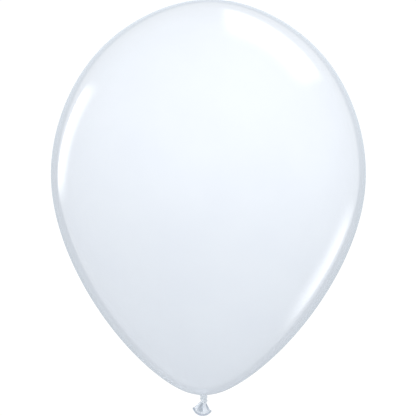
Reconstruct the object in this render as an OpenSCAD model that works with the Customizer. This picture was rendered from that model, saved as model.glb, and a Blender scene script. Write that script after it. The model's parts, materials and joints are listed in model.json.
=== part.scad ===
// Round latex balloon, inflated and tied off with an overhand knot in its own neck.
// The origin is the middle of the neck between body and knot, and +Z runs up to the crown.

/* [Body] */
// Widest diameter of the inflated body
body_d = 280; // [220:1:340]
// Height of the body, from its flattened bottom to the crown
body_h = 352; // [290:1:420]
// Wall of every film, thicker than the stretched latex that it stands for
film_t = 0.4; // [0.3:0.05:0.5]

/* [Outline] */
// How far the outline is drawn out along its axis
oval = 0.119; // [0.1:0.001:0.13]
// How much narrower the lower half is than the upper half
taper = 0.041; // [0.03:0.001:0.043]
// How full the shoulders are next to a plain oval
fullness = 0.018; // [0.012:0.001:0.02]
// How straight the flanks are between the widest line and the ends
flank = 0.0034; // [0:0.0002:0.005]
// How round the foot is next to the crown
foot = 0.0036; // [0:0.0002:0.005]

/* [Neck and nape] */
// Diameter of the gathered neck, where a ribbon is tied
neck_d = 6; // [5.6:0.1:6.2]
// Length of the neck between body and knot
neck_l = 1.8; // [1.5:0.1:2.4]
// Diameter of the gathered nape, where the film fans out from the neck
nape_d = 10; // [9.6:0.1:11]

/* [Knot] */
// Height of the whole knot
knot_h = 4.2; // [4.1:0.1:5]
// Diameter of the strand that is wrapped round the knot
strand_d = 2.1; // [1.8:0.1:2.2]
// Diameter of the wrapped turn, measured along the middle of its strand
turn_d = 4.4; // [4:0.1:4.8]
// How far the wrapped turn leans
turn_tilt = 10; // [4:1:12]

/* [Tail] */
// Length of the tail, from the knot's underside to the lowest point of its lip
tail_l = 11.9; // [11:0.1:16]
// Half of the angle over which the tail fans out
fan_angle = 37; // [34:1:42]
// Depth of the tail's open mouth, front to back
mouth_depth = 10; // [8.5:0.1:12]
// How far the tail leans to the side
tail_lean = 5; // [0:1:7]
// Diameter of the rolled lip
lip_d = 1.5; // [1.2:0.1:1.8]

/* [Hidden] */
$fn = 96;

// Colours: translucent film, and denser latex where it is gathered or rolled
film_colour = [0.93, 0.95, 0.98];
gathered_colour = [0.90, 0.92, 0.95];
lip_colour = [0.78, 0.81, 0.85];

// Working clearance between pieces that turn against each other
joint_gap = 0.2;
// Clearance between the wrapped turn and its groove
lay_gap = 0.05;
// Clearance between the film's rim and the rolled lip
lip_gap = 0.15;

// Heights along the axis
neck_top_z = neck_l / 2;
knot_top_z = -neck_l / 2;
knot_foot_z = knot_top_z - knot_h;
body_foot_z = neck_top_z + 0.7;

// The sway pivot is at the top of the neck, and the nod pivot is in the middle of the nape
sway_ball_r = neck_d / 2;
sway_z = neck_top_z;
nod_ball_r = nape_d / 2;
nod_z = sway_z + 3;
nape_foot_z = sway_z + 0.25;
nape_head_z = sway_z + 2.7;

// The throat is two merged balls: one turns in the knot, and the tail turns on the other
throat_ball_r = 2.25;
throat_z = knot_foot_z - 0.8;
tail_ball_r = 2.7;
tail_z = throat_z - 2.3;

// The wrapped turn lies in the upper half of the knot
turn_z = knot_top_z - 1.5;
knot_chamfer = [0.4, 0.6];

// The tail is a flattened tube that fans out from one apex on the axis
apex_z = knot_top_z - 0.5;
tail_top_z = tail_z + 0.75;
tail_top_s = apex_z - tail_top_z;
lip_drop = 1.9;
film_rim_s = apex_z - knot_foot_z + tail_l - lip_d - lip_gap;
lip_path_s = film_rim_s + lip_d / 2 + lip_gap;
throat_depth = 2 * (tail_ball_r + joint_gap + 0.05 + film_t);

// Points on the curved meshes
outline_steps = 72;
tail_sides = 36;
tail_rows = 10;
lip_steps = 60;
lip_sides = 12;

// The outline is given by its support function: the distance from the centre
// to the tangent whose normal makes the angle a with the axis
function support(a) =
    1 + oval * cos(2 * a) - taper * cos(3 * a) + fullness * cos(4 * a)
    - flank * cos(6 * a) + foot * cos(7 * a);
function support_slope(a) =
    -2 * oval * sin(2 * a) + 3 * taper * sin(3 * a) - 4 * fullness * sin(4 * a)
    + 6 * flank * sin(6 * a) - 7 * foot * sin(7 * a);
function unit_point(a) = [
    support(a) * sin(a) + support_slope(a) * cos(a),
    support(a) * cos(a) - support_slope(a) * sin(a)
];
outline_angles = [for (i = [0 : outline_steps]) 180 * i / outline_steps];
unit_r = max([for (a = outline_angles) unit_point(a)[0]]);
unit_foot = unit_point(180)[1];
unit_h = unit_point(0)[1] - unit_foot;
scale_r = body_d / 2 / unit_r;
scale_z = body_h / unit_h;

// A point of the film, at a depth below its outer face
function film_point(a, depth) =
    let (
        p = unit_point(a),
        n = [sin(a) / scale_r, cos(a) / scale_z]
    )
    [p[0] * scale_r, body_foot_z + (p[1] - unit_foot) * scale_z] - depth * n / norm(n);

// Solid of revolution that the film's outer or inner face encloses
module film_body(depth) {
    rotate_extrude($fn = 180)
        polygon([for (a = outline_angles)
            let (p = film_point(a, depth))
            [a == 0 || a == 180 ? 0 : p[0], p[1]]
        ]);
}

module envelope() {
    color(film_colour, 0.9)
        difference() {
            film_body(0);
            film_body(film_t);
            translate([0, 0, nod_z]) sphere(r = nod_ball_r + joint_gap);
        }
}

// Gathered film between body and neck: a ball for the body, with a socket for the neck
module nape() {
    color(gathered_colour)
        difference() {
            intersection() {
                translate([0, 0, nod_z]) sphere(r = nod_ball_r);
                translate([0, 0, nape_foot_z])
                    cylinder(r = nape_d, h = nape_head_z - nape_foot_z);
            }
            translate([0, 0, sway_z]) sphere(r = sway_ball_r + joint_gap);
        }
}

// Neck: a round waist for a ribbon, with the upper half of the sway ball on top
module neck() {
    color(gathered_colour)
        union() {
            translate([0, 0, knot_top_z]) cylinder(d = neck_d, h = neck_l);
            intersection() {
                translate([0, 0, sway_z]) sphere(r = sway_ball_r);
                translate([0, 0, sway_z]) cylinder(r = neck_d, h = neck_d);
            }
        }
}

// A ring of round section that leans as the wrapped turn does
module leaning_ring(section_r) {
    translate([0, 0, turn_z]) rotate([0, turn_tilt, 0])
        rotate_extrude() translate([turn_d / 2, 0]) circle(r = section_r, $fn = 48);
}

// Middle of the knot, with a groove for the turn and a socket for the throat
module knot_core() {
    core_r = neck_d / 2;
    color(gathered_colour)
        difference() {
            translate([0, 0, knot_foot_z])
                rotate_extrude()
                    polygon([
                        [0, 0],
                        [core_r - knot_chamfer[0], 0],
                        [core_r, knot_chamfer[1]],
                        [core_r, knot_h],
                        [0, knot_h]
                    ]);
            leaning_ring(strand_d / 2 + lay_gap);
            translate([0, 0, throat_z]) sphere(r = throat_ball_r + joint_gap);
        }
}

// The turn that the neck makes round itself
module knot_turn() {
    color(gathered_colour) leaning_ring(strand_d / 2);
}

module tail_throat() {
    color(gathered_colour)
        union() {
            translate([0, 0, throat_z]) sphere(r = throat_ball_r);
            translate([0, 0, tail_z]) sphere(r = tail_ball_r);
        }
}

// Position on the fan: u runs from the tail's top to its rim, and t runs round it
function fan_angle_at(t) = fan_angle * cos(t);
function rim_s(t, s) = s - lip_drop * cos(t) * cos(t);
function fan_s(u, t) = (1 - u) * tail_top_s / cos(fan_angle_at(t)) + u * rim_s(t, film_rim_s);
function fan_half_depth(u) = (throat_depth + u * (mouth_depth - throat_depth)) / 2;
function fan_half_width(u) = fan_s(u, 0) * sin(fan_angle);
function fan_point(u, t, depth) =
    let (
        s = fan_s(u, t),
        wide = 1 - depth / fan_half_width(u),
        half_depth = fan_half_depth(u) - depth
    )
    [s * sin(fan_angle_at(t)) * wide, half_depth * sin(t), -s * cos(fan_angle_at(t))];
function lip_centre(t) =
    let (s = rim_s(t, lip_path_s))
    [
        s * sin(fan_angle_at(t)) * (1 - film_t / 2 / fan_half_width(1)),
        (mouth_depth - film_t) / 2 * sin(t),
        -s * cos(fan_angle_at(t))
    ];

// Puts what hangs from the apex in its place, with the tail's lean
module from_apex() {
    translate([0, 0, apex_z]) rotate([0, tail_lean, 0]) children();
}

// Two triangles for each cell of a grid of points that closes on itself round the rows
function grid_faces(rows, sides) = [
    for (i = [0 : rows - 2], j = [0 : sides - 1])
        let (
            a = i * sides + j,
            b = i * sides + (j + 1) % sides,
            c = a + sides,
            d = b + sides
        )
        each [[a, b, d], [a, d, c]]
];

// Flared skirt: down the outside to the rim, back up the inside, and closed at the top
module tail() {
    outside = [for (i = [0 : tail_rows]) [i / tail_rows, 0]];
    inside = [for (i = [tail_rows : -1 : 0]) [i / tail_rows, film_t]];
    around = concat(outside, inside, [outside[0]]);
    rows = len(around);
    points = [for (row = around, j = [0 : tail_sides - 1])
        fan_point(row[0], 360 * j / tail_sides, row[1])];
    color(film_colour, 0.9) from_apex()
        polyhedron(points = closed_points(points, rows, tail_sides), faces = closed_faces(rows, tail_sides));
}

// A closed tube's last ring is its first one, so the faces wrap round to the first ring
function closed_points(points, rows, sides) = [for (i = [0 : (rows - 1) * sides - 1]) points[i]];
function closed_faces(rows, sides) = [
    for (face = grid_faces(rows, sides)) [for (k = face) k % ((rows - 1) * sides)]
];

// Rolled bead that finishes the tail's mouth
module rolled_lip() {
    rings = [for (i = [0 : lip_steps - 1])
        let (
            t = 360 * i / lip_steps,
            centre = lip_centre(t),
            along = lip_centre(t + 1) - lip_centre(t - 1),
            out = cross(along, [0, 0, 1]),
            across = out / norm(out),
            up = cross(along, across) / norm(along)
        )
        [for (j = [0 : lip_sides - 1])
            let (b = 360 * j / lip_sides)
            centre + lip_d / 2 * (cos(b) * across + sin(b) * up)]
    ];
    points = [for (ring = concat(rings, [rings[0]]), p = ring) p];
    color(lip_colour) from_apex()
        polyhedron(
            points = closed_points(points, lip_steps + 1, lip_sides),
            faces = closed_faces(lip_steps + 1, lip_sides)
        );
}

envelope();
nape();
neck();
knot_core();
knot_turn();
tail_throat();
tail();
rolled_lip();
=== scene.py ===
import json
import math
import bpy
import numpy as np
from mathutils import Matrix, Vector


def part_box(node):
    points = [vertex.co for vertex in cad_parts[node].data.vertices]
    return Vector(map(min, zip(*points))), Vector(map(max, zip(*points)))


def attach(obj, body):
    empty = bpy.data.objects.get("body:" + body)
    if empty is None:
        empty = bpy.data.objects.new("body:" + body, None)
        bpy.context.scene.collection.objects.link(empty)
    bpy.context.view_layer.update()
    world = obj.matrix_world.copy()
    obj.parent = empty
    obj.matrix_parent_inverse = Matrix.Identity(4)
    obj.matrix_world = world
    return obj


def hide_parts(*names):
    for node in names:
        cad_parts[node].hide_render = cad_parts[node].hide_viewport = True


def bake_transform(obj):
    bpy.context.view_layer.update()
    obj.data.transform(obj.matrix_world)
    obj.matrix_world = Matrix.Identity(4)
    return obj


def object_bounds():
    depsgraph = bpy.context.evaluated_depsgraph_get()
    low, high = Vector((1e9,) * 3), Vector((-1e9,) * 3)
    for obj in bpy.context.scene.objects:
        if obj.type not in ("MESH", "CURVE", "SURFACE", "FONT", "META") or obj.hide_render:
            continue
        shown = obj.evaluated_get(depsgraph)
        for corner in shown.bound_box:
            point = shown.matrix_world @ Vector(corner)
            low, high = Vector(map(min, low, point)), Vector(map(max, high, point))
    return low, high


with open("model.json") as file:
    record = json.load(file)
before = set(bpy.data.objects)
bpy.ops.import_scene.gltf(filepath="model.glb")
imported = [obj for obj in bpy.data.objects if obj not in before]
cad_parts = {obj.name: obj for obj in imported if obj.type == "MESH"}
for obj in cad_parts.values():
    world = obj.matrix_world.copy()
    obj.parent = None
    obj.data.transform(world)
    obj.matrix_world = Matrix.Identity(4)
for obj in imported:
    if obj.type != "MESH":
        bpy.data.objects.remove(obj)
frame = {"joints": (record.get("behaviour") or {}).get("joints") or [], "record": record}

cad_lo, cad_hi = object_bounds()

MM = 0.001
TURN = 2 * math.pi

# ---------------------------------------------------------------- sizes from the frame

mounts = {m["name"]: m for m in frame["record"]["mounts"]}
neck_size = mounts["ribbon_tie"]["dims"]
NECK_R = neck_size["r_mm"] * MM
NECK_TOP = neck_size["length_mm"] / 2 * MM
NECK_FOOT = -NECK_TOP

envelope_lo, envelope_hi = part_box("envelope")
core_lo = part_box("knot_core")[0]
turn_lo, turn_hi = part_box("knot_turn")
tail_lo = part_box("tail")[0]
lip_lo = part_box("rolled_lip")[0]

BODY_R = (envelope_hi[0] - envelope_lo[0]) / 2
CROWN_Z = envelope_hi[2]
FOOT_LIFT = 0.7 * MM         # the body's foot stands this far above the bare neck
FOOT_Z = NECK_TOP + FOOT_LIFT
KNOT_FOOT = core_lo[2]
TURN_Z = (turn_lo[2] + turn_hi[2]) / 2

# Outline of the body, as in the CAD model: the support function's terms
OVAL, TAPER, FULLNESS, FLANK, FOOT = 0.119, 0.041, 0.018, 0.0034, 0.0036


def support(a):
    """Distance from the outline's centre to the tangent whose normal is at angle a from the axis."""
    return (1 + OVAL * np.cos(2 * a) - TAPER * np.cos(3 * a) + FULLNESS * np.cos(4 * a)
            - FLANK * np.cos(6 * a) + FOOT * np.cos(7 * a))


def support_slope(a):
    return (-2 * OVAL * np.sin(2 * a) + 3 * TAPER * np.sin(3 * a) - 4 * FULLNESS * np.sin(4 * a)
            + 6 * FLANK * np.sin(6 * a) - 7 * FOOT * np.sin(7 * a))


def unit_outline(a):
    r = support(a) * np.sin(a) + support_slope(a) * np.cos(a)
    z = support(a) * np.cos(a) - support_slope(a) * np.sin(a)
    return r, z


UNIT_R = unit_outline(np.linspace(0, math.pi, 721))[0].max()
UNIT_TOP, UNIT_FOOT = support(0), -support(math.pi)
SCALE_Z = (CROWN_Z - FOOT_Z) / (UNIT_TOP - UNIT_FOOT)
BODY_CENTRE = Vector((0, 0, FOOT_Z - UNIT_FOOT * SCALE_Z))


def outline(a):
    """Radius and height of the body's outline where its normal is at angle a from the crown."""
    r, z = unit_outline(a)
    return r * BODY_R / UNIT_R, FOOT_Z + (z - UNIT_FOOT) * SCALE_Z


# ---------------------------------------------------------------- mesh helpers

# The gathered neck leans as it leaves the body, so the knot hangs a little to the right of the axis
KNOT_SHIFT = 1.25 * MM


def smooth_step(x, low, high):
    t = np.clip((np.asarray(x, float) - low) / (high - low), 0, 1)
    return t * t * (3 - 2 * t)


def loft(name, rings, cap_start=True, cap_end=True, closed=False):
    """A smooth mesh through rings of equal length. A cap is a fan to the end ring's middle."""
    rings = np.asarray(rings, float)
    count, sides = rings.shape[:2]
    points = [tuple(p) for p in rings.reshape(-1, 3)]
    faces = []
    for i in range(count if closed else count - 1):
        a, b = i * sides, (i + 1) % count * sides
        for j in range(sides):
            k = (j + 1) % sides
            faces.append((a + j, a + k, b + k, b + j))
    if cap_start and not closed:
        points.append(tuple(rings[0].mean(0)))
        faces += [(len(points) - 1, (j + 1) % sides, j) for j in range(sides)]
    if cap_end and not closed:
        last = (count - 1) * sides
        points.append(tuple(rings[-1].mean(0)))
        faces += [(len(points) - 1, last + j, last + (j + 1) % sides) for j in range(sides)]
    mesh = bpy.data.meshes.new(name)
    mesh.from_pydata(points, [], faces)
    mesh.polygons.foreach_set("use_smooth", [True] * len(mesh.polygons))
    mesh.update()
    piece = bpy.data.objects.new(name, mesh)
    bpy.context.scene.collection.objects.link(piece)
    return piece


def gathers(angle, waves):
    """Irregular folds round the axis: a sum of (how many, share, phase) waves between -1 and 1."""
    total = sum(share * np.cos(number * angle + phase) for number, share, phase in waves)
    return total / sum(share for _, share, _ in waves)


FINE_GATHERS = ((17, 1.0, 0.4), (23, 0.8, 2.1), (11, 0.7, 4.0), (29, 0.4, 1.2))
BROAD_GATHERS = ((5, 1.0, 0.7), (8, 0.8, 2.9), (13, 0.6, 5.1))


def tube(name, path, radii, section, sides=48, closed=False):
    """Sweeps a section along a path. section(i, b) gives the radius factor at row i and angle b."""
    path = np.asarray(path, float)
    rows = len(path)
    b = np.linspace(0, TURN, sides, endpoint=False)
    rings = []
    side = np.array([0.0, 0.0, 1.0])
    for i in range(rows):
        if closed:
            along = path[(i + 1) % rows] - path[i - 1]
        else:
            along = path[min(i + 1, rows - 1)] - path[max(i - 1, 0)]
        along = along / np.linalg.norm(along)
        up = side - along * side.dot(along)
        up /= np.linalg.norm(up)
        across = np.cross(along, up)
        factor = section(i, b)
        wide, tall = radii[i]
        rings.append(path[i] + np.outer(np.cos(b) * wide * factor, across)
                     + np.outer(np.sin(b) * tall * factor, up))
    return loft(name, rings, closed=closed)


# ---------------------------------------------------------------- body, nape and neck

BODY_SIDES = 288
BODY_ROWS = 132
FILLET_START = math.radians(172)
FILLET_ROWS = 26
CROWN_START = math.radians(0.7)   # the crown's hole, which a flat cap closes
SEAM_Z = NECK_TOP + 0.1 * MM      # where the body's piece ends on the neck
NECK_SKIN_R = NECK_R * 1.03
CORNER_REACH = 2.9 * MM
CORNER_FLARE = 0.05 * MM
CORNER_RISE = 0.75 * MM
LEAN_START = FOOT_Z + 0.7 * MM
LEAN_LENGTH = 2.2 * MM
PLEAT_DEPTH = 0.17 * MM
PLEAT_FADE = 3.6 * MM

NECK_ROWS = 34
NECK_OVERLAP = 0.02 * MM          # the neck's film runs up behind the body's
NECK_HIDDEN = 0.9 * MM            # and down inside the knot's turn
WAIST_DEPTH = 0.10 * MM
WAIST_LENGTH = 2.2 * MM
TUCK_DEPTH = 1.1 * MM


def nape_curve(t):
    """Curve from the body's flat foot, round the corner, and down on to the neck."""
    r0, z0 = (float(v) for v in outline(FILLET_START))
    start = np.array([r0, z0])
    inward = np.array([math.cos(FILLET_START), -math.sin(FILLET_START)])
    corner_in = start + inward * CORNER_REACH
    corner_out = np.array([NECK_SKIN_R + CORNER_FLARE, SEAM_Z + CORNER_RISE])
    end = np.array([NECK_SKIN_R, SEAM_Z])
    return ((1 - t) ** 3 * start + 3 * (1 - t) ** 2 * t * corner_in
            + 3 * (1 - t) * t ** 2 * corner_out + t ** 3 * end)


def pleated_ring(r, z, nr, nz, depth, sides=BODY_SIDES):
    """A ring of the skin, with pleats of that depth along the outline's normal (nr, nz)."""
    angle = np.linspace(0, TURN, sides, endpoint=False)
    fold = depth * gathers(angle, FINE_GATHERS)
    radius = r + fold * nr
    lean = KNOT_SHIFT * smooth_step(LEAN_START - z, 0, LEAN_LENGTH)
    return np.stack([lean + radius * np.cos(angle), radius * np.sin(angle), z + fold * nz], 1)


def pleat_depth(r):
    """Depth of the pleats, which die out as the film spreads from the neck."""
    return PLEAT_DEPTH * math.exp(-max(r - NECK_SKIN_R, 0) / PLEAT_FADE)


def build_envelope_film():
    """The blown-up body, with the gathered nape down to the top of the neck."""
    rings = []
    for a in np.linspace(CROWN_START, FILLET_START, BODY_ROWS):
        r, z = outline(a)
        rings.append(pleated_ring(r, z, math.sin(a), math.cos(a), pleat_depth(r)))
    steps = np.linspace(0, 1, FILLET_ROWS + 1)
    for t in steps[1:]:
        r, z = nape_curve(t)
        before, after = nape_curve(max(t - 0.01, 0)), nape_curve(min(t + 0.01, 1))
        dr, dz = after - before
        size = math.hypot(dr, dz)
        rings.append(pleated_ring(r, z, -dz / size, dr / size, pleat_depth(r)))
    piece = loft("envelope_film", rings[::-1])
    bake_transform(piece)
    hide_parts("envelope")
    return piece


def build_neck_film():
    """The gathered neck, from the nape down to where it goes in under the knot's turn."""
    rings = []
    top, foot = SEAM_Z + NECK_OVERLAP, NECK_FOOT - NECK_HIDDEN
    for z in np.linspace(top, foot, NECK_ROWS):
        waist = WAIST_DEPTH * math.sin(math.pi * np.clip((top - z) / WAIST_LENGTH, 0, 1))
        tuck = TUCK_DEPTH * float(smooth_step(-z, -NECK_FOOT - 0.1 * MM, -foot)) ** 1.5
        rings.append(pleated_ring(NECK_SKIN_R - waist - tuck, z, 1, 0, pleat_depth(0)))
    piece = loft("neck_film", rings[::-1])
    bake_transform(piece)
    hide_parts("neck", "nape")
    return piece


# ---------------------------------------------------------------- knot

CORE_R = 2.75 * MM
CORE_TAPER = 0.75 * MM
CORE_FOLD = 0.2 * MM
CORE_TWIST = 0.5
CORE_ROWS, CORE_SIDES = 28, 96
TURN_R = 2.25 * MM
TURN_WIDE, TURN_TALL = 0.98 * MM, 1.12 * MM
TURN_DROP = 0.25 * MM
TURN_ROWS = 120
STRAND_R = 0.55 * MM
STRAND_SWELL = 0.25 * MM


def build_knot_core():
    """The gathered middle of the knot, which shows above and below the turn."""
    angle = np.linspace(0, TURN, CORE_SIDES, endpoint=False)
    rings = []
    for z in np.linspace(NECK_FOOT - 0.2 * MM, KNOT_FOOT - 0.1 * MM, CORE_ROWS):
        down = (NECK_FOOT - z) / (NECK_FOOT - KNOT_FOOT)
        r = CORE_R - CORE_TAPER * down + CORE_FOLD * gathers(angle + CORE_TWIST * down, BROAD_GATHERS)
        x, y = KNOT_SHIFT + r * np.cos(angle), r * np.sin(angle)
        rings.append(np.stack([x, y, np.full_like(angle, z)], 1))
    piece = loft("knot_middle", rings[::-1])
    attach(piece, "neck")
    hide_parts("knot_core")
    return piece


def strand_section(i, b):
    """Lengthwise folds of a strand of gathered film."""
    return 1 + 0.07 * np.cos(5 * b + 0.09 * i) + 0.04 * np.cos(9 * b - 0.05 * i)


def build_knot_turn():
    """The turn: it runs down across the front from the upper left to the lower right."""
    angle = np.linspace(0, TURN, TURN_ROWS, endpoint=False)
    radius = TURN_R + 0.10 * MM * np.cos(2 * angle + 0.6)
    sag = 0.15 * np.exp(-((angle - math.radians(300)) / 0.5) ** 2)
    rise = (-0.80 * np.cos(angle) + 0.32 * np.sin(angle) - sag) * MM
    height = TURN_Z - TURN_DROP + rise
    path = np.stack([KNOT_SHIFT + radius * np.cos(angle), radius * np.sin(angle), height], 1)
    swell = 1 + 0.12 * np.cos(angle - 2.9) + 0.06 * np.cos(3 * angle)
    radii = np.stack([TURN_WIDE * swell, TURN_TALL * swell], 1)
    piece = tube("knot_wrapped_turn", path, radii, strand_section, closed=True)
    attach(piece, "neck")
    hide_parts("knot_turn")
    return piece


def spline(points, count):
    """Catmull-Rom curve through the points."""
    p = np.asarray(points, float)
    p = np.vstack([2 * p[0] - p[1], p, 2 * p[-1] - p[-2]])
    out = []
    for u in np.linspace(0, len(points) - 1, count):
        i = min(int(u), len(points) - 2)
        t = u - i
        a, b, c, d = p[i:i + 4]
        out.append(0.5 * (2 * b + (c - a) * t + (2 * a - 5 * b + 4 * c - d) * t ** 2
                          + (3 * b - a - 3 * c + d) * t ** 3))
    return np.array(out)


# Route of the tucked strand from the axis, in mm: out from under the turn, then down into the tail
TUCK_ROUTE = [(2.3, -0.5, -3.0), (2.2, -1.3, -3.8), (1.8, -1.8, -4.6),
              (1.3, -1.7, -5.4), (0.9, -1.1, -6.2), (0.7, -0.3, -6.8)]


def build_knot_tuck():
    """The strand that comes over the turn and dives under it into the tail."""
    path = spline(TUCK_ROUTE, 60) * MM + (KNOT_SHIFT, 0, 0)
    along = np.linspace(0, 1, len(path))
    size = STRAND_R + STRAND_SWELL * np.sin(math.pi * along)
    radii = np.stack([size, size * 0.9], 1)
    piece = tube("knot_tucked_strand", path, radii, strand_section, sides=36)
    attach(piece, "neck")
    return piece


# ---------------------------------------------------------------- tail

# The tail fans out from one apex, as in the CAD model
APEX_Z = NECK_FOOT - 0.5 * MM
FAN_ANGLE = math.radians(38)
TAIL_LEAN = math.radians(8)
LIP_R = 0.78 * MM
LIP_DROP = 1.9 * MM
THROAT_START = 3.0 * MM
TAIL_LENGTH = KNOT_FOOT - lip_lo[2]
RIM_S = APEX_Z - KNOT_FOOT + TAIL_LENGTH - 2 * LIP_R
THROAT_HALF_DEPTH = 2.1 * MM
MOUTH_HALF_DEPTH = 4.9 * MM
TAIL_SIDES = 192

# The throat's piece and the skirt's meet level, halfway between the tail_sway and tail_nod hinges
hinge_z = {joint["name"]: joint["pos_m"][2] for joint in frame["joints"]}
TAIL_SEAM_Z = (hinge_z["tail_sway"] + hinge_z["tail_nod"]) / 2 - 0.2 * MM
FILM_T = 0.3 * MM
GUARD = 0.01        # share of a piece kept for the turned edge where two pieces meet
RIM_ROW = 1.02      # the film runs this far, a little way into the lip
THROAT_ROWS, FUNNEL_ROWS, SKIRT_ROWS = 30, 12, 60
THROAT_HIDDEN = -0.15             # the throat's first row, inside the knot

# Folds of the tail: places in degrees and depths
DENT_AT, DENT_WIDTH = -9, 11.5
DENT_DEPTH, DENT_GROWTH = 2.2 * MM, 4.0 * MM
CREASE_AT, CREASE_WIDTH = 327, 9
CREASE_IN, CREASE_DEPTH = 0.8 * MM, 1.9 * MM
REAR_AT, REAR_WIDTH, REAR_DEPTH = 9, 8, 1.5 * MM
THROAT_GATHER, RIM_GATHER = 0.20 * MM, 0.03 * MM

APEX = Matrix.Translation((KNOT_SHIFT, 0, APEX_Z)) @ Matrix.Rotation(TAIL_LEAN, 4, "Y")


def fan_surface(v, t, inset=0.0):
    """Points of the tail at row v (0 at the throat, 1 at the rim) and angles t, in the apex's frame."""
    spread = FAN_ANGLE * np.cos(t)
    rim = RIM_S - LIP_DROP * np.cos(t) ** 2
    s = (1 - v) * THROAT_START / np.cos(spread) + v * rim
    half_depth = THROAT_HALF_DEPTH + v * (MOUTH_HALF_DEPTH - THROAT_HALF_DEPTH)
    half_width = s * np.sin(FAN_ANGLE)
    x = s * np.sin(spread) * (1 - inset / half_width)
    y = (half_depth - inset) * np.sin(t)
    z = -s * np.cos(spread)

    # One broad fold dents the front, one narrow crease runs down its right side, and one dents the back
    front = smooth_step(-np.sin(t), 0.05, 0.55)
    back = smooth_step(np.sin(t), 0.05, 0.55)
    rise = smooth_step(v, -0.1, 0.3)
    broad = np.exp(-((np.degrees(spread) - DENT_AT) / DENT_WIDTH) ** 4) * rise
    broad = broad * (1 - 0.88 * smooth_step(v, 0.60, 0.93))
    crease = np.exp(-((np.degrees(t) - CREASE_AT) / CREASE_WIDTH) ** 2)
    crease = crease * smooth_step(v, 0.15, 0.35) * (1 - smooth_step(v, 0.7, 0.95))
    rear = np.exp(-((np.degrees(spread) - REAR_AT) / REAR_WIDTH) ** 2) * rise
    rear = rear * (1 - 0.6 * smooth_step(v, 0.7, 1))
    y = y + front * broad * (DENT_DEPTH + DENT_GROWTH * v) - back * rear * REAR_DEPTH
    x = x - crease * CREASE_IN
    y = y + crease * CREASE_DEPTH

    # Gathers run down from the throat and open out towards the rim
    depth = THROAT_GATHER * np.clip(1 - v, 0, 1) ** 1.5 + RIM_GATHER
    fold = depth * gathers(t, FINE_GATHERS)
    x = x + fold * np.cos(t)
    y = y + fold * np.sin(t)
    return np.stack([x, y, z], 1)


def from_apex(points):
    turn = np.array(APEX.to_3x3())
    return points @ turn.T + np.array(APEX.translation)


TAIL_TURNS = np.linspace(0, TURN, TAIL_SIDES, endpoint=False)


def fan_ring(v, inset=0.0):
    return from_apex(fan_surface(v, TAIL_TURNS, inset))


def seam_row(t):
    """Rows of the tail that lie level, where the throat's piece ends and the skirt's starts."""
    spread = FAN_ANGLE * np.cos(t)
    throat = THROAT_START / np.cos(spread)
    rim = RIM_S - LIP_DROP * np.cos(t) ** 2
    return ((APEX_Z - TAIL_SEAM_Z) / np.cos(spread - TAIL_LEAN) - throat) / (rim - throat)


def build_throat_film():
    """The gathered start of the tail, closed below by a funnel that runs up into the knot."""
    seam = seam_row(TAIL_TURNS)
    shares = (*np.linspace(THROAT_HIDDEN, 1 - GUARD, THROAT_ROWS), 1)
    rings = [fan_ring(share * seam) for share in shares]
    edge = fan_ring(seam, FILM_T * 1.1)
    peak = np.array(APEX @ Vector((0, 0, -THROAT_START - 0.4 * MM)))
    for share in np.linspace(0, 1, FUNNEL_ROWS)[:-1]:
        ring = edge + (peak - edge) * share
        ring[:, 2] = edge[:, 2] + (peak[2] - edge[:, 2]) * share ** 0.7
        rings.append(ring)
    piece = loft("tail_throat_film", rings)
    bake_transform(piece)
    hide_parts("tail_throat")
    return piece


def build_tail_skirt():
    """Flared film of the tail, with its outer and inner face."""
    seam = seam_row(TAIL_TURNS)
    rows = [seam + (RIM_ROW - seam) * share for share in (0, *np.linspace(GUARD, 1, SKIRT_ROWS))]
    rings = [fan_ring(v) for v in rows] + [fan_ring(v, FILM_T) for v in rows[::-1]]
    piece = loft("tail_skirt", rings, closed=True)
    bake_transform(piece)
    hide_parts("tail")
    return piece


def build_rolled_lip():
    """Rolled bead round the mouth, with the edges of the roll showing as fine lines along it."""
    t = np.linspace(0, TURN, 240, endpoint=False)
    rim = fan_surface(1.0, t, FILM_T / 2)
    outward = rim / np.linalg.norm(rim, axis=1)[:, None]
    path = from_apex(rim + outward * LIP_R * 0.95)
    swell = 1 + 0.05 * np.cos(3 * t + 0.8) + 0.03 * np.cos(7 * t)
    radii = np.stack([LIP_R * swell, LIP_R * swell], 1)

    def roll(i, b):
        return 1 + 0.035 * np.cos(6 * b + 0.02 * i) + 0.012 * np.cos(40 * t[i])

    piece = tube("rolled_lip_bead", path, radii, roll, closed=True)
    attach(piece, "tail")
    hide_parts("rolled_lip")
    return piece


# ---------------------------------------------------------------- materials

LATEX_IOR = 1.52
COAT_ROUGHNESS = 0.06
GRAIN_HEIGHT = 0.02 * MM
SPECKS_PER_PATCH = 14


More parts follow.
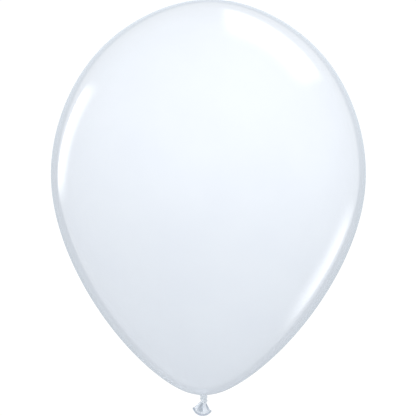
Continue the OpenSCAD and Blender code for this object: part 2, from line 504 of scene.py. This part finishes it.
def latex(name, colour, deep_colour, roughness, coat, translucency, patch_scale, grain):
    """Latex: cloudy colour, fine grain in the gloss, and a share of light that comes through."""
    material = bpy.data.materials.new(name)
    material.use_nodes = True
    nodes, links = material.node_tree.nodes, material.node_tree.links
    nodes.clear()
    output = nodes.new("ShaderNodeOutputMaterial")
    mix = nodes.new("ShaderNodeMixShader")
    mix.inputs[0].default_value = translucency
    skin = nodes.new("ShaderNodeBsdfPrincipled")
    skin.inputs["IOR"].default_value = LATEX_IOR
    skin.inputs["Coat Weight"].default_value = coat
    skin.inputs["Coat IOR"].default_value = LATEX_IOR
    skin.inputs["Coat Roughness"].default_value = COAT_ROUGHNESS
    through = nodes.new("ShaderNodeBsdfTranslucent")
    place = nodes.new("ShaderNodeTexCoord")

    cloud = nodes.new("ShaderNodeTexNoise")
    cloud.inputs["Scale"].default_value = patch_scale
    cloud.inputs["Detail"].default_value = 4
    tint = nodes.new("ShaderNodeValToRGB")
    tint.color_ramp.elements[0].position = 0.35
    tint.color_ramp.elements[0].color = (*deep_colour, 1)
    tint.color_ramp.elements[1].position = 0.65
    tint.color_ramp.elements[1].color = (*colour, 1)
    links.new(place.outputs["Object"], cloud.inputs["Vector"])
    links.new(cloud.outputs["Fac"], tint.inputs["Fac"])
    links.new(tint.outputs["Color"], skin.inputs["Base Color"])
    links.new(tint.outputs["Color"], through.inputs["Color"])

    speck = nodes.new("ShaderNodeTexNoise")
    speck.inputs["Scale"].default_value = patch_scale * SPECKS_PER_PATCH
    speck.inputs["Detail"].default_value = 3
    gloss = nodes.new("ShaderNodeMapRange")
    gloss.inputs["To Min"].default_value = roughness * 0.8
    gloss.inputs["To Max"].default_value = roughness * 1.25
    bump = nodes.new("ShaderNodeBump")
    bump.inputs["Strength"].default_value = grain
    bump.inputs["Distance"].default_value = GRAIN_HEIGHT
    links.new(place.outputs["Object"], speck.inputs["Vector"])
    links.new(speck.outputs["Fac"], gloss.inputs["Value"])
    links.new(gloss.outputs["Result"], skin.inputs["Roughness"])
    links.new(speck.outputs["Fac"], bump.inputs["Height"])
    links.new(bump.outputs["Normal"], skin.inputs["Normal"])

    links.new(skin.outputs["BSDF"], mix.inputs[1])
    links.new(through.outputs["BSDF"], mix.inputs[2])
    links.new(mix.outputs["Shader"], output.inputs["Surface"])
    return material


def paint(piece, material):
    piece.data.materials.clear()
    piece.data.materials.append(material)


# ---------------------------------------------------------------- studio

KEY_AT, KEY_DISTANCE, KEY_SIZE, KEY_ENERGY = (162, 36), 1.8, 1.0, 5.2
TAIL_LIGHT_AT, TAIL_LIGHT_DISTANCE, TAIL_LIGHT_CONE, TAIL_ENERGY = (-108, -6), 0.6, 4.4, 11.0
FLOOR_RADIUS, FLOOR_DROP = 0.45, 0.6

# The grey card: brightness at its middle and rim, and its reach in degrees at the sides
FLAG_CENTRE, FLAG_RIM, FLAG_FALLOFF = 0.75, 0.43, 2.5
FLAG_TINT = (0.89, 0.97, 1.05)
FLAG_REACH = 37
FLAG_LIFT, FLAG_DROP = 0.42, 0.11

# Tones of the sky below, at the horizon and overhead
HORIZON_STOP = 0.36
BACKDROP = (1.05, 1.05, 1.05)
SKY_LIT = ((0.39, 0.42, 0.45), (1.23, 1.235, 1.235), (0.88, 0.885, 0.89))
SKY_MIRRORED = ((0.46, 0.49, 0.52), (0.72, 0.75, 0.79), (0.90, 0.92, 0.94))

# The balloon fills the square frame from edge to edge
BALLOON_SHARE = 1.00144
FRAME_WIDTH = (CROWN_Z - lip_lo[2]) / BALLOON_SHARE
CAMERA_DISTANCE = 3.0


def direction(azimuth, elevation):
    """Unit vector: azimuth 0 is straight behind the object, 90 to its right, elevation above it."""
    a, e = math.radians(azimuth), math.radians(elevation)
    return Vector((math.cos(e) * math.sin(a), math.cos(e) * math.cos(a), math.sin(e)))


def off_axis(way, off):
    """Unit vector off degrees from the view axis. way turns round the axis: 0 is right, 90 is up."""
    w, o = math.radians(way), math.radians(off)
    return Vector((math.sin(o) * math.cos(w), math.cos(o), math.sin(o) * math.sin(w)))


def glowing_card(name, points, faces, glow, tint, see_through):
    """A card that only reflections see. glow is its brightness at each point.

    A see-through card adds its light to what is behind it."""
    mesh = bpy.data.meshes.new(name)
    mesh.from_pydata(points, [], faces)
    shade = mesh.color_attributes.new("glow", "FLOAT_COLOR", "POINT")
    for point, value in zip(shade.data, glow):
        point.color = (value * tint[0], value * tint[1], value * tint[2], 1)
    card = bpy.data.objects.new(name, mesh)
    bpy.context.scene.collection.objects.link(card)

    material = bpy.data.materials.new(name + "_glow")
    material.use_nodes = True
    nodes, links = material.node_tree.nodes, material.node_tree.links
    nodes.clear()
    brightness = nodes.new("ShaderNodeAttribute")
    brightness.attribute_name = "glow"
    emission = nodes.new("ShaderNodeEmission")
    output = nodes.new("ShaderNodeOutputMaterial")
    links.new(brightness.outputs["Color"], emission.inputs["Color"])
    if see_through:
        clear = nodes.new("ShaderNodeBsdfTransparent")
        add = nodes.new("ShaderNodeAddShader")
        links.new(emission.outputs["Emission"], add.inputs[0])
        links.new(clear.outputs["BSDF"], add.inputs[1])
        links.new(add.outputs["Shader"], output.inputs["Surface"])
    else:
        links.new(emission.outputs["Emission"], output.inputs["Surface"])
    mesh.materials.append(material)
    card.visible_camera = False
    card.visible_diffuse = False
    card.visible_shadow = False
    return card


def studio_panel(name, corners, strength, soft, distance=6.0, steps=24):
    """A curved light panel round the body, through four (way, off) corners, as in off_axis.

    soft gives the share of the panel over which each side fades: first, last, lower and upper."""
    c = np.array(corners, float)
    points, faces, glow = [], [], []
    for i in range(steps + 1):
        for j in range(steps + 1):
            u, v = i / steps, j / steps
            way, off = (1 - u) * (1 - v) * c[0] + u * (1 - v) * c[1] + u * v * c[2] + (1 - u) * v * c[3]
            points.append(tuple(BODY_CENTRE + off_axis(way, off) * distance))
            fade = 1.0
            for inside, share in zip((u, 1 - u, v, 1 - v), soft):
                fade *= float(smooth_step(inside, -0.001, share))
            glow.append(strength * fade)
    for i in range(steps):
        for j in range(steps):
            a = i * (steps + 1) + j
            faces.append((a, a + steps + 1, a + steps + 2, a + 1))
    return glowing_card(name, points, faces, glow, tint=(1, 1, 1), see_through=True)


def flag_reach(way_up):
    """Degrees off the view axis where the grey card ends. way_up is -1 below and 1 above."""
    if way_up > 0:
        return FLAG_REACH - 7 * way_up ** 2
    return FLAG_REACH - 8 * way_up + 10 * way_up ** 4


def edge_flag(name, distance=5.0, sides=96, rows=14):
    """A grey card behind the balloon, which draws the soft grey band along its edge."""
    points, faces, glow = [], [], []
    for k in range(rows + 1):
        share = k / rows
        for i in range(sides):
            a = TURN * i / sides
            off = flag_reach(math.sin(a)) * share
            r = distance * math.tan(math.radians(off))
            points.append(tuple(BODY_CENTRE + Vector((r * math.cos(a), distance, r * math.sin(a)))))
            tone = 1 + (FLAG_LIFT if math.sin(a) > 0 else FLAG_DROP) * math.sin(a)
            glow.append(tone * (FLAG_CENTRE - (FLAG_CENTRE - FLAG_RIM) * share ** FLAG_FALLOFF))
    for k in range(rows):
        for i in range(sides):
            a, b = k * sides + i, k * sides + (i + 1) % sides
            faces.append((a, b, b + sides, a + sides))
    return glowing_card(name, points, faces, glow, tint=FLAG_TINT, see_through=False)


def sky(nodes, links, place, tones):
    """A background that runs from the tone below, over the horizon's, to the tone overhead."""
    below, horizon, overhead = tones
    height = nodes.new("ShaderNodeSeparateXYZ")
    share = nodes.new("ShaderNodeMapRange")
    share.inputs["From Min"].default_value = -1
    ramp = nodes.new("ShaderNodeValToRGB")
    stops = ramp.color_ramp.elements
    stops[0].position, stops[0].color = 0.0, (*below, 1)
    stops[1].position, stops[1].color = 1.0, (*overhead, 1)
    stops.new(HORIZON_STOP).color = (*horizon, 1)
    light = nodes.new("ShaderNodeBackground")
    links.new(place.outputs["Generated"], height.inputs["Vector"])
    links.new(height.outputs["Z"], share.inputs["Value"])
    links.new(share.outputs["Result"], ramp.inputs["Fac"])
    links.new(ramp.outputs["Color"], light.inputs["Color"])
    return light


def build_world(backdrop, lit, mirrored):
    """White backdrop for the camera, a soft sky for the light, and a greyer one for reflections."""
    world = bpy.data.worlds.new("studio")
    world.use_nodes = True
    nodes, links = world.node_tree.nodes, world.node_tree.links
    nodes.clear()
    place = nodes.new("ShaderNodeTexCoord")
    path = nodes.new("ShaderNodeLightPath")
    seen = nodes.new("ShaderNodeBackground")
    seen.inputs["Color"].default_value = (*backdrop, 1)
    gloss = nodes.new("ShaderNodeMixShader")
    camera = nodes.new("ShaderNodeMixShader")
    output = nodes.new("ShaderNodeOutputWorld")
    links.new(path.outputs["Is Glossy Ray"], gloss.inputs["Fac"])
    links.new(sky(nodes, links, place, lit).outputs["Background"], gloss.inputs[1])
    links.new(sky(nodes, links, place, mirrored).outputs["Background"], gloss.inputs[2])
    links.new(path.outputs["Is Camera Ray"], camera.inputs["Fac"])
    links.new(gloss.outputs["Shader"], camera.inputs[1])
    links.new(seen.outputs["Background"], camera.inputs[2])
    links.new(camera.outputs["Shader"], output.inputs["Surface"])
    bpy.context.scene.world = world


def build_key_light():
    """A broad, gentle key light from the front, above and to the right."""
    data = bpy.data.lights.new("key_light", "AREA")
    data.shape = "DISK"
    data.size = KEY_SIZE
    data.energy = KEY_ENERGY
    key = bpy.data.objects.new("key_light", data)
    bpy.context.scene.collection.objects.link(key)
    towards = direction(*KEY_AT)
    key.location = BODY_CENTRE + towards * KEY_DISTANCE
    key.rotation_euler = towards.to_track_quat("Z", "Y").to_euler()
    key.visible_glossy = False
    key.visible_camera = False


def build_tail_light():
    """A small light from the lower left that picks out the tail."""
    data = bpy.data.lights.new("tail_light", "SPOT")
    data.energy = TAIL_ENERGY
    data.spot_size = math.radians(TAIL_LIGHT_CONE)
    data.spot_blend = 0.8
    data.shadow_soft_size = 0.05
    light = bpy.data.objects.new("tail_light", data)
    bpy.context.scene.collection.objects.link(light)
    aim = Vector((0, 0, tail_lo[2] - 1 * MM))
    away = direction(*TAIL_LIGHT_AT)
    light.location = aim + away * TAIL_LIGHT_DISTANCE
    light.rotation_euler = away.to_track_quat("Z", "Y").to_euler()
    light.visible_glossy = False


def build_floor():
    """A plain pale floor, well below the balloon, that neither the camera nor the gloss shows."""
    place = (0, 0, cad_lo.z - FLOOR_DROP)
    bpy.ops.mesh.primitive_circle_add(vertices=96, radius=FLOOR_RADIUS, fill_type="NGON", location=place)
    floor = bpy.context.object
    floor.name = "floor"
    material = bpy.data.materials.new("pale_floor")
    material.use_nodes = True
    shader = material.node_tree.nodes["Principled BSDF"]
    shader.inputs["Base Color"].default_value = (0.72, 0.74, 0.77, 1)
    shader.inputs["Roughness"].default_value = 0.6
    floor.data.materials.append(material)
    floor.visible_camera = False
    floor.visible_glossy = False


def build_camera(distance, frame_width, look_right, look_up, roll):
    """A long lens that looks along +Y. look_right and look_up place the body's centre in the frame."""
    roll = math.radians(roll)
    right = Vector((math.cos(roll), 0, math.sin(roll)))
    up = Vector((-math.sin(roll), 0, math.cos(roll)))
    back = Vector((0, -1, 0))
    data = bpy.data.cameras.new("camera")
    data.sensor_width = 36
    data.lens = data.sensor_width * distance / frame_width
    data.clip_end = 100
    camera = bpy.data.objects.new("camera", data)
    bpy.context.scene.collection.objects.link(camera)
    place = BODY_CENTRE - right * look_right - up * look_up + back * distance
    turn = Matrix((right, up, back)).transposed().to_4x4()
    camera.matrix_world = Matrix.Translation(place) @ turn
    bpy.context.scene.camera = camera


# ---------------------------------------------------------------- the scene

film = latex("latex_film", colour=(0.88, 0.92, 0.975), deep_colour=(0.865, 0.905, 0.965),
             roughness=0.10, coat=1.0, translucency=0.12, patch_scale=22, grain=0.06)
skirt_latex = latex("latex_skirt", colour=(0.83, 0.87, 0.92), deep_colour=(0.77, 0.82, 0.88),
                    roughness=0.22, coat=0.3, translucency=0.12, patch_scale=300, grain=0.3)
gathered = latex("latex_gathered", colour=(0.80, 0.845, 0.89), deep_colour=(0.71, 0.76, 0.81),
                 roughness=0.24, coat=0.3, translucency=0.08, patch_scale=400, grain=0.3)
rolled = latex("latex_rolled", colour=(0.51, 0.56, 0.63), deep_colour=(0.45, 0.50, 0.57),
               roughness=0.28, coat=0.1, translucency=0.0, patch_scale=500, grain=0.35)

paint(build_envelope_film(), film)
paint(build_neck_film(), gathered)
paint(build_knot_core(), gathered)
paint(build_knot_turn(), gathered)
paint(build_knot_tuck(), gathered)
paint(build_throat_film(), skirt_latex)
paint(build_tail_skirt(), skirt_latex)
paint(build_rolled_lip(), rolled)

build_world(backdrop=BACKDROP, lit=SKY_LIT, mirrored=SKY_MIRRORED)
build_floor()
edge_flag("edge_flag")
studio_panel("panel_upper_right", corners=[(88, 40), (86, 86), (37, 92), (35, 52)],
             strength=1.9, soft=(0.2, 0.5, 0.16, 0.16))
studio_panel("panel_left", corners=[(144, 72), (147, 46), (194, 34), (193, 56)],
             strength=1.8, soft=(0.6, 0.1, 0.2, 0.4))
studio_panel("panel_lower_right", corners=[(-5, 38), (-3, 60), (-47, 76), (-49, 50)],
             strength=1.25, soft=(0.2, 0.65, 0.45, 0.35))
build_key_light()
build_tail_light()
build_camera(CAMERA_DISTANCE, FRAME_WIDTH, look_right=-0.05 * MM, look_up=15.5 * MM, roll=1.5)
bpy.context.scene.view_settings.view_transform = "Standard"
